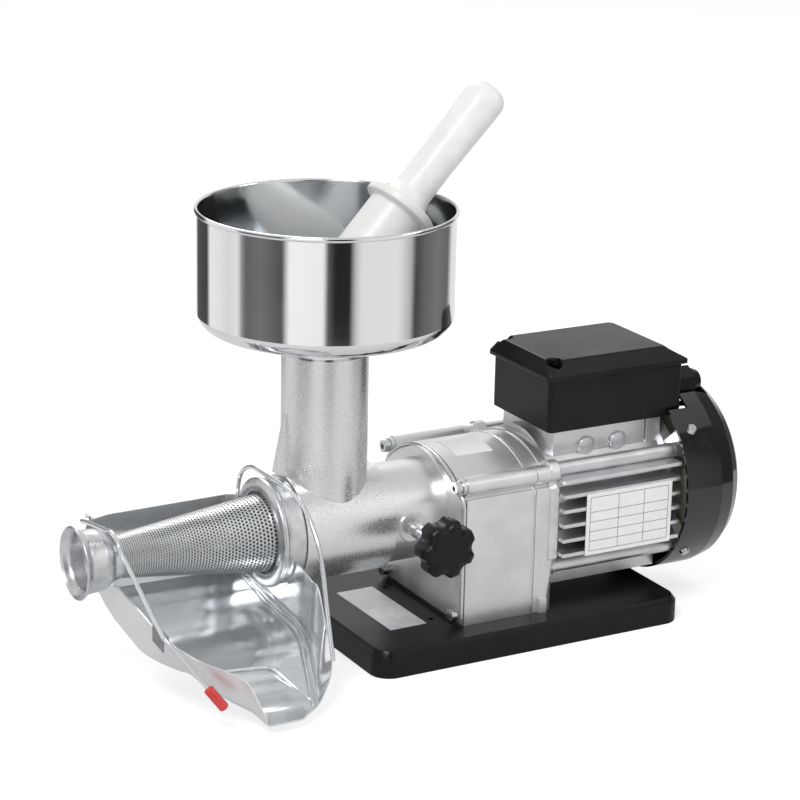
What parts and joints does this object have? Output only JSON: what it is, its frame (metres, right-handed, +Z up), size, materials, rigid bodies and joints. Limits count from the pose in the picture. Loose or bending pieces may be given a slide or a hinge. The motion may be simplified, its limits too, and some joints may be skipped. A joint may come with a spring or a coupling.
{
  "type": "electric tomato press",
  "caption": "Electric tomato press: geared motor on a tray base, screw press with feed bowl, conical strainer, waste nozzle, drip chute and pestle.",
  "frame": {"origin": "centre of the base tray's underside, on the table", "axes": "+Z up; +X along the machine from the press towards the motor's fan cover; -Y the side with the clamping knob and the chute's lip"},
  "size_m": [0.4806, 0.2057, 0.3774],
  "materials": {
    "black_plastic": "moulded satin",
    "cast_aluminium": "die-cast satin",
    "bright_screws": "zinc plated",
    "bearing_steel": "ground",
    "seal_rubber": "moulded",
    "gear_steel": "machined and oiled",
    "motor_aluminium": "die-cast",
    "lamination_steel": "stacked laminations",
    "copper_windings": "enamelled wire",
    "fan_plastic": "moulded",
    "gloss_black": "gloss",
    "capacitor_plastic": "moulded",
    "terminal_plastic": "moulded",
    "switch_plastic": "moulded gloss",
    "clamp_steel": "turned",
    "tinned_casting": "sand-cast and tinned",
    "strainer_steel": "perforated stainless sheet",
    "mirror_steel": "polished stainless steel",
    "wire_steel": "polished stainless wire",
    "red_grip": "dipped vinyl",
    "white_plastic": "moulded polyethylene"
  },
  "bodies": {
    "machine": {"base_tray": "black_plastic", "base_screws": "bright_screws", "gearbox_housing": "cast_aluminium", "gearbox_cover": "cast_aluminium", "housing_screws": "bright_screws", "output_bearings": "bearing_steel", "output_seal": "seal_rubber", "layshaft_bearings": "bearing_steel", "motor_housing": "motor_aluminium", "stator_core": "lamination_steel", "stator_windings": "copper_windings", "motor_bearings": "bearing_steel", "rear_shield": "cast_aluminium", "tie_rods": "bright_screws", "fan_cover": "gloss_black", "fan_cover_screws": "bright_screws", "terminal_base": "motor_aluminium", "switch_box": "black_plastic", "switch_box_lid": "black_plastic", "lid_screws": "bright_screws", "run_capacitor": "capacitor_plastic", "terminal_block": "terminal_plastic", "switch_frame": "switch_plastic", "gland_body": "black_plastic", "gland_nut": "black_plastic"},
    "rotor": {"rotor_shaft": "gear_steel", "rotor_core": "lamination_steel", "cooling_fan": "fan_plastic"},
    "middle_shaft": {"layshaft": "gear_steel", "layshaft_wheel": "gear_steel"},
    "drive": {"output_shaft": "gear_steel", "output_wheel": "gear_steel"},
    "press": {"press_body": "tinned_casting", "strainer_cone": "strainer_steel", "drip_chute": "mirror_steel", "rear_hanger": "wire_steel"},
    "screw": {"auger": "tinned_casting"},
    "ring": {"clamp_ring": "mirror_steel"},
    "spout": {"nozzle": "mirror_steel"},
    "bail": {"front_bail": "wire_steel", "bail_grip": "red_grip"},
    "hopper": {"bowl": "mirror_steel"},
    "pusher": {"pestle": "white_plastic"},
    "clamp_pin": {"lock_sleeve": "clamp_steel"},
    "clamp_knob": {"lock_knob": "black_plastic"},
    "rocker": {"switch_rocker": "switch_plastic"}
  },
  "joints": [
    {"name": "rotor_spin", "type": "hinge", "parent": "machine", "child": "rotor", "pos_m": [0.06, 0, 0.0885], "axis": [1, 0, 0], "continuous": true},
    {"name": "layshaft_spin", "type": "hinge", "parent": "machine", "child": "middle_shaft", "pos_m": [-0.02, 0, 0.0535], "axis": [1, 0, 0], "continuous": true},
    {"name": "output_spin", "type": "hinge", "parent": "machine", "child": "drive", "pos_m": [-0.04, 0, 0.0885], "axis": [1, 0, 0], "continuous": true},
    {"name": "press_pull_off", "type": "slide", "parent": "machine", "child": "press", "axis": [-1, 0, 0], "range_m": [0, 0.04]},
    {"name": "screw_spin", "type": "hinge", "parent": "press", "child": "screw", "pos_m": [-0.15, 0, 0.0885], "axis": [1, 0, 0], "continuous": true},
    {"name": "ring_twist", "type": "hinge", "parent": "press", "child": "ring", "pos_m": [-0.16, 0, 0.0885], "axis": [1, 0, 0], "range_deg": [0, 40]},
    {"name": "spout_twist", "type": "hinge", "parent": "press", "child": "spout", "pos_m": [-0.29, 0, 0.0885], "axis": [1, 0, 0], "range_deg": [0, 30]},
    {"name": "bail_swing", "type": "hinge", "parent": "press", "child": "bail", "pos_m": [-0.2796, 0.0489, 0.0975], "axis": [-1, 0, 0], "range_deg": [0, 100]},
    {"name": "bowl_lift", "type": "slide", "parent": "press", "child": "hopper", "axis": [0, 0, 1], "range_m": [0, 0.035]},
    {"name": "pestle_lift", "type": "slide", "parent": "hopper", "child": "pusher", "axis": [0, 0, 1], "range_m": [0, 0.06]},
    {"name": "knob_turn", "type": "hinge", "parent": "clamp_pin", "child": "clamp_knob", "pos_m": [-0.0765, -0.06, 0.0885], "axis": [0, -1, 0], "range_deg": [-361, 0]},
    {"name": "clamp_slide", "type": "slide", "parent": "machine", "child": "clamp_pin", "axis": [0, -1, 0], "range_m": [0, 0.0025]},
    {"name": "switch_rock", "type": "hinge", "parent": "machine", "child": "rocker", "pos_m": [0.075, 0.034, 0.1585], "axis": [0, 0, 1], "range_deg": [0, 16]}
  ],
  "couplings": [
    {"joint": "layshaft_spin", "follows": "rotor_spin", "ratio": -0.2069},
    {"joint": "output_spin", "follows": "rotor_spin", "ratio": 0.050575},
    {"joint": "screw_spin", "follows": "rotor_spin", "ratio": 0.050575},
    {"joint": "knob_turn", "follows": "clamp_slide", "rad_per_m": -2513.3}
  ]
}
